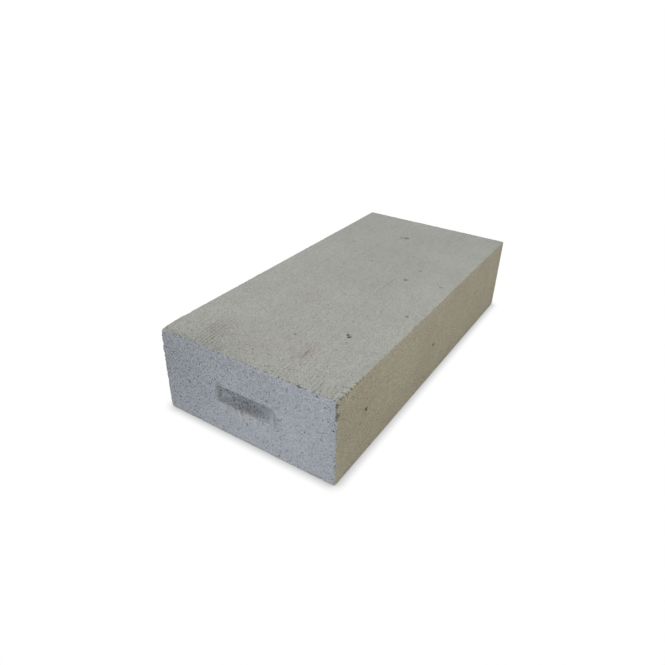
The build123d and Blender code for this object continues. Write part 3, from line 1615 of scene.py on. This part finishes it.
        # Painted light: the ends take a bluer colour, and the long sides a warmer one in part.
        flank = paint.blend(self.greening.write(paint, spot.place), self.brown_flank, self.green_flank)
        colour = paint.blend(spot.on_flank, self.bed, flank)
        colour = paint.blend(spot.on_end, colour, self.end)
        large = self.clouds.write(paint, spot.place)
        middling = self.dapples.write(paint, spot.place)
        colour = paint.shaded(colour, paint.maths("MULTIPLY", large, middling))
        lying = self._patches(paint, spot.place, self.stains, box)
        grooves = paint.ease(spot.sunk, *self.dusty_depths, 0.0, self.groove_dust)
        thick = paint.maths("ADD", self.dust_streaks.write(paint, spot.place), grooves)
        return paint.blend(paint.maths("MULTIPLY", lying, thick), colour, self.dust)

    @staticmethod
    def _patches(paint: Painter, place: Socket, patches: tuple[Patch, ...], box: BlockBox) -> Socket:
        """Writes how strong the strongest of some soft patches is.

        Args:
            paint: Writes the nodes.
            place: The place.
            patches: The patches.
            box: The block's box.

        Returns:
            Their strength at the place.
        """
        strongest: Feed = 0.0
        for patch in patches:
            centre = box.place(patch.side, patch.along * MM, patch.down * MM)
            extent = np.abs(patch.side.rightward) * patch.length + np.abs(patch.side.downward) * patch.width
            extent = extent + np.abs(patch.side.outward) * patch.through
            away = paint.vectors("SUBTRACT", place, tuple(centre))
            spread = paint.vectors("DIVIDE", away, tuple(extent * MM / 2))
            reach = paint.node("ShaderNodeVectorMath", {0: spread}, operation="LENGTH").outputs["Value"]
            strength = paint.ease(reach, PATCH_REACH, 0.0, 0.0, patch.strength)
            strongest = paint.maths("MAXIMUM", strongest, strength)
        return strongest

    def _shade(self, paint: Painter, spot: Spot, box: BlockBox) -> Socket:
        """Writes how light the grain, pores and flecks make the place, with painted shade and painted light
        in patches, grooves, pits and grips.

        Args:
            paint: Writes the nodes.
            spot: What they know of the place.
            box: The block's box.

        Returns:
            The factor for the colour.
        """
        # Painted shade in patches, which also makes the fine pores darker there.
        painted_shade = self._patches(paint, spot.place, self.painted_shades, box)
        torn = paint.maths("MULTIPLY", spot.in_grip, self._patches(paint, spot.place, self.tears, box))
        coarse = paint.maths("MULTIPLY_ADD", painted_shade, self.shade_pore, self.pore)
        coarse = paint.maths("MULTIPLY_ADD", spot.on_end, self.end_pore, coarse)
        coarse = paint.maths("MULTIPLY_ADD", torn, self.grip_pore, coarse)
        ramp = paint.maths("MULTIPLY", spot.in_grip, self._patches(paint, spot.place, self.ramps, box))
        rough_share = paint.maths("SUBTRACT", 1.0, ramp)
        coarse = paint.maths("MULTIPLY", coarse, rough_share)
        swing = paint.maths("MULTIPLY_ADD", spot.on_flank, self.flank_grain, self.grain)
        shade = self._speckle(paint, spot, coarse, paint.maths("MULTIPLY", swing, rough_share))
        dots = paint.maths("MULTIPLY", torn, self.grip_dots.write(paint, spot.place))
        shade = paint.maths("MULTIPLY", shade, paint.maths("MULTIPLY_ADD", dots, -self.grip_dot, 1.0))
        # Painted shade in grooves and pits, by how far the surface was sunk.
        groove = paint.ease(spot.sunk, *self.groove_depths, 1.0, 1 - self.shallow)
        pit = paint.ease(spot.sunk, *self.pit_depths, 1.0, 1 - self.deep)
        shade = paint.maths("MULTIPLY", shade, paint.maths("MULTIPLY", groove, pit))
        shade = paint.maths("MULTIPLY", shade, paint.maths("SUBTRACT", 1.0, painted_shade))
        # Painted light in patches makes the colour lighter there.
        pale = self._patches(paint, spot.place, self.painted_lights, box)
        shade = paint.maths("MULTIPLY", shade, paint.maths("ADD", 1.0, pale))
        # Painted shade inside the grips.
        dim = paint.maths("ADD", self._patches(paint, spot.place, self.grip_shades, box), self.grip_shade)
        dim = paint.maths("MULTIPLY", spot.in_grip, dim)
        return paint.maths("MULTIPLY", shade, paint.maths("SUBTRACT", 1.0, dim))

    def _speckle(self, paint: Painter, spot: Spot, coarse: Socket, swing: Socket) -> Socket:
        """Writes how light the sandy grain, the fine pores, the crumbs and the pale flecks make the place.

        Args:
            paint: Writes the nodes.
            spot: What they know of the place.
            coarse: How much darker the pores are.
            swing: How much the grain changes the colour.

        Returns:
            The factor for the colour.
        """
        unevenness = paint.maths("MULTIPLY_ADD", spot.grain, 2.0, -1.0)
        swung = paint.maths("MULTIPLY_ADD", unevenness, swing, 1.0)
        swung = paint.maths("MULTIPLY_ADD", self.crumbs.write(paint, spot.place), spot.on_end, swung)
        swung = paint.maths("MULTIPLY_ADD", self.blotches.write(paint, spot.place), spot.on_flank, swung)
        off_end = paint.maths("SUBTRACT", 1.0, spot.on_end)
        swung = paint.maths("MULTIPLY_ADD", self.streaks.write(paint, spot.place), off_end, swung)
        dark = paint.maths("MULTIPLY", spot.pores, coarse)
        cells = paint.cells(spot.place, self.fleck_cell)
        luck = paint.node("ShaderNodeSeparateColor", {0: cells.outputs["Color"]}).outputs[1]
        chosen = paint.ease(luck, *self.fleck_choice)
        flecks = paint.maths("MULTIPLY", chosen, paint.ease(cells.outputs["Distance"], *self.fleck_edge))
        light = paint.maths("MULTIPLY_ADD", flecks, self.fleck, swung)
        return paint.maths("SUBTRACT", light, dark)


@dataclass(frozen=True)
class Lamp:
    """A soft square lamp that faces a point.

    Attributes:
        name: Its name.
        place: Where it stands, in metres.
        target: What it faces, in metres.
        size: The length of its sides, in metres.
        power: Its power, in watts.
        colour: The colour of its light.
    """

    name: str
    place: tuple[float, float, float]
    target: tuple[float, float, float]
    size: float
    power: float
    colour: Colour = WHITE

    def build(self) -> bpy.types.Object:
        """Makes the lamp.

        Returns:
            Its object.
        """
        light = bpy.data.lights.new(self.name, "AREA")
        light.size = self.size
        light.energy = self.power
        light.color = self.colour
        made = bpy.data.objects.new(self.name, light)
        made.location = self.place
        made.rotation_euler = (Vector(self.target) - Vector(self.place)).to_track_quat("-Z", "Y").to_euler()
        bpy.context.scene.collection.objects.link(made)
        return made


@dataclass(frozen=True)
class Studio:
    """The plain white floor, the even light all round and the soft lamps.

    Attributes:
        floor_size: The length of the floor's sides, in metres.
        floor_albedo: The share of the light that the floor throws back.
        ambient: The even light all round.
        shadow_reach: How far the contact shadow spreads from the block, in metres.
        shadow_depth: How much of the white it takes away where the block stands.
        shadow_samples: How many rays feel for it.
        lamps: The soft lamps.
    """

    floor_size: float = 60.0
    floor_albedo: float = 0.65
    ambient: Colour = (0.53, 0.53, 0.53)
    shadow_reach: float = 0.015
    shadow_depth: float = 0.85
    shadow_samples: int = 24
    lamps: tuple[Lamp, ...] = (
        Lamp("key", place=(-1.7, 1.45, 2.9), target=(0, 0, 0.1), size=1.5, power=50.0),
        Lamp("overhead", place=(0.3, -0.1, 3.1), target=(0, 0, 0.1), size=1.8, power=14.0),
        Lamp(
            "warm_fill",
            place=(-0.5, -2.2, 0.5),
            target=(0, -0.15, 0.07),
            size=1.0,
            power=9.5,
            colour=(1.0, 0.95, 0.8),
        ),
    )

    def build(self) -> None:
        """Makes the floor, the world and the lamps."""
        self._floor()
        self._world()
        for lamp in self.lamps:
            lamp.build()

    @staticmethod
    def _split(paint: Painter, lit: bpy.types.Node, shown: bpy.types.Node) -> Socket:
        """Gives a shader of their own to the rays that show the background itself.

        Args:
            paint: Writes the nodes.
            lit: The shader for the other rays, which light the block.
            shown: The shader for the rays that come in view, in a gloss or through glass.

        Returns:
            The shader for both.
        """
        path = paint.node("ShaderNodeLightPath")
        seen = paint.maths("MAXIMUM", path.outputs["Is Camera Ray"], path.outputs["Is Glossy Ray"])
        seen = paint.maths("MAXIMUM", seen, path.outputs["Is Transmission Ray"])
        return paint.node("ShaderNodeMixShader", {0: seen, 1: lit.outputs[0], 2: shown.outputs[0]}).outputs[0]

    def _floor(self) -> None:
        """Makes the floor: white to look at, with the block's contact shadow."""
        half = self.floor_size / 2
        corners = [(-half, -half, 0), (half, -half, 0), (half, half, 0), (-half, half, 0)]
        mesh = bpy.data.meshes.new("floor")
        mesh.from_pydata(corners, [], [(0, 1, 2, 3)])
        material = bpy.data.materials.new("white_floor")
        material.use_nodes = True
        material.node_tree.nodes.clear()
        paint = Painter(material.node_tree)
        feeds: Feeds = {"Distance": self.shadow_reach}
        open_sky = paint.node("ShaderNodeAmbientOcclusion", feeds, samples=self.shadow_samples)
        shut_in = paint.maths("SUBTRACT", 1.0, open_sky.outputs["AO"])
        white = paint.maths("SUBTRACT", 1.0, paint.maths("MULTIPLY", shut_in, self.shadow_depth))
        glow = paint.node("ShaderNodeEmission", {"Color": WHITE, "Strength": white})
        albedo = self.floor_albedo
        matt = paint.node("ShaderNodeBsdfDiffuse", {"Color": (albedo, albedo, albedo)})
        paint.node("ShaderNodeOutputMaterial", {"Surface": self._split(paint, matt, glow)})
        mesh.materials.append(material)
        _added("floor", mesh)

    def _world(self) -> None:
        """Makes the world: white to look at, and an even light all round."""
        world = bpy.data.worlds.new("studio")
        world.use_nodes = True
        world.node_tree.nodes.clear()
        paint = Painter(world.node_tree)
        around = paint.node("ShaderNodeBackground", {"Color": self.ambient, "Strength": 1.0})
        white = paint.node("ShaderNodeBackground", {"Color": WHITE, "Strength": 1.0})
        paint.node("ShaderNodeOutputWorld", {"Surface": self._split(paint, around, white)})
        bpy.context.scene.world = world


@dataclass(frozen=True)
class Viewpoint:
    """The camera, where the photograph was taken from.

    Attributes:
        place: Where it stands, in metres.
        azimuth: Which way it looks, from +X towards +Y, in degrees.
        dip: How far it looks down, in degrees.
        roll: How far its right side is raised, in degrees.
        focal_pixels: Its focal length in pixels of the picture.
        picture_pixels: The picture's width in pixels.
        sensor: The width of its sensor, in millimetres.
        nearest: The nearest that it sees, in metres.
        farthest: The farthest that it sees, in metres.
    """

    place: tuple[float, float, float] = (-0.7540, -0.4181, 0.5503)
    azimuth: float = 32.0
    dip: float = 31.18
    roll: float = 1.48
    focal_pixels: float = 555.0
    picture_pixels: float = 665.0
    sensor: float = 36.0
    nearest: float = 0.01
    farthest: float = 200.0

    def build(self) -> bpy.types.Object:
        """Makes the camera and sets it as the scene's.

        Returns:
            Its object.
        """
        lens = bpy.data.cameras.new("camera")
        lens.sensor_width = self.sensor
        lens.lens = self.sensor * self.focal_pixels / self.picture_pixels
        lens.clip_start = self.nearest
        lens.clip_end = self.farthest
        azimuth, dip = math.radians(self.azimuth), math.radians(self.dip)
        level = math.cos(dip)
        ahead = Vector((level * math.cos(azimuth), level * math.sin(azimuth), -math.sin(dip)))
        turn = ahead.to_track_quat("-Z", "Y").to_matrix() @ Matrix.Rotation(math.radians(self.roll), 3, "Z")
        made = bpy.data.objects.new("camera", lens)
        made.matrix_world = Matrix.Translation(self.place) @ turn.to_4x4()
        bpy.context.scene.collection.objects.link(made)
        bpy.context.scene.camera = made
        return made


def main() -> None:
    """Dresses the block, lights it and sets the camera."""
    logging.basicConfig(level=logging.INFO, format="%(name)s: %(message)s")
    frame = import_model()
    bpy.context.scene.view_settings.view_transform = "Standard"
    cast = CastBlock()
    cast.dress(cast.build(frame["nodes"][NODE]), AeratedConcrete())
    Studio().build()
    log.info("set up the studio")
    Viewpoint().build()
    log.info("set the camera")


if __name__ == "__main__":
    main()
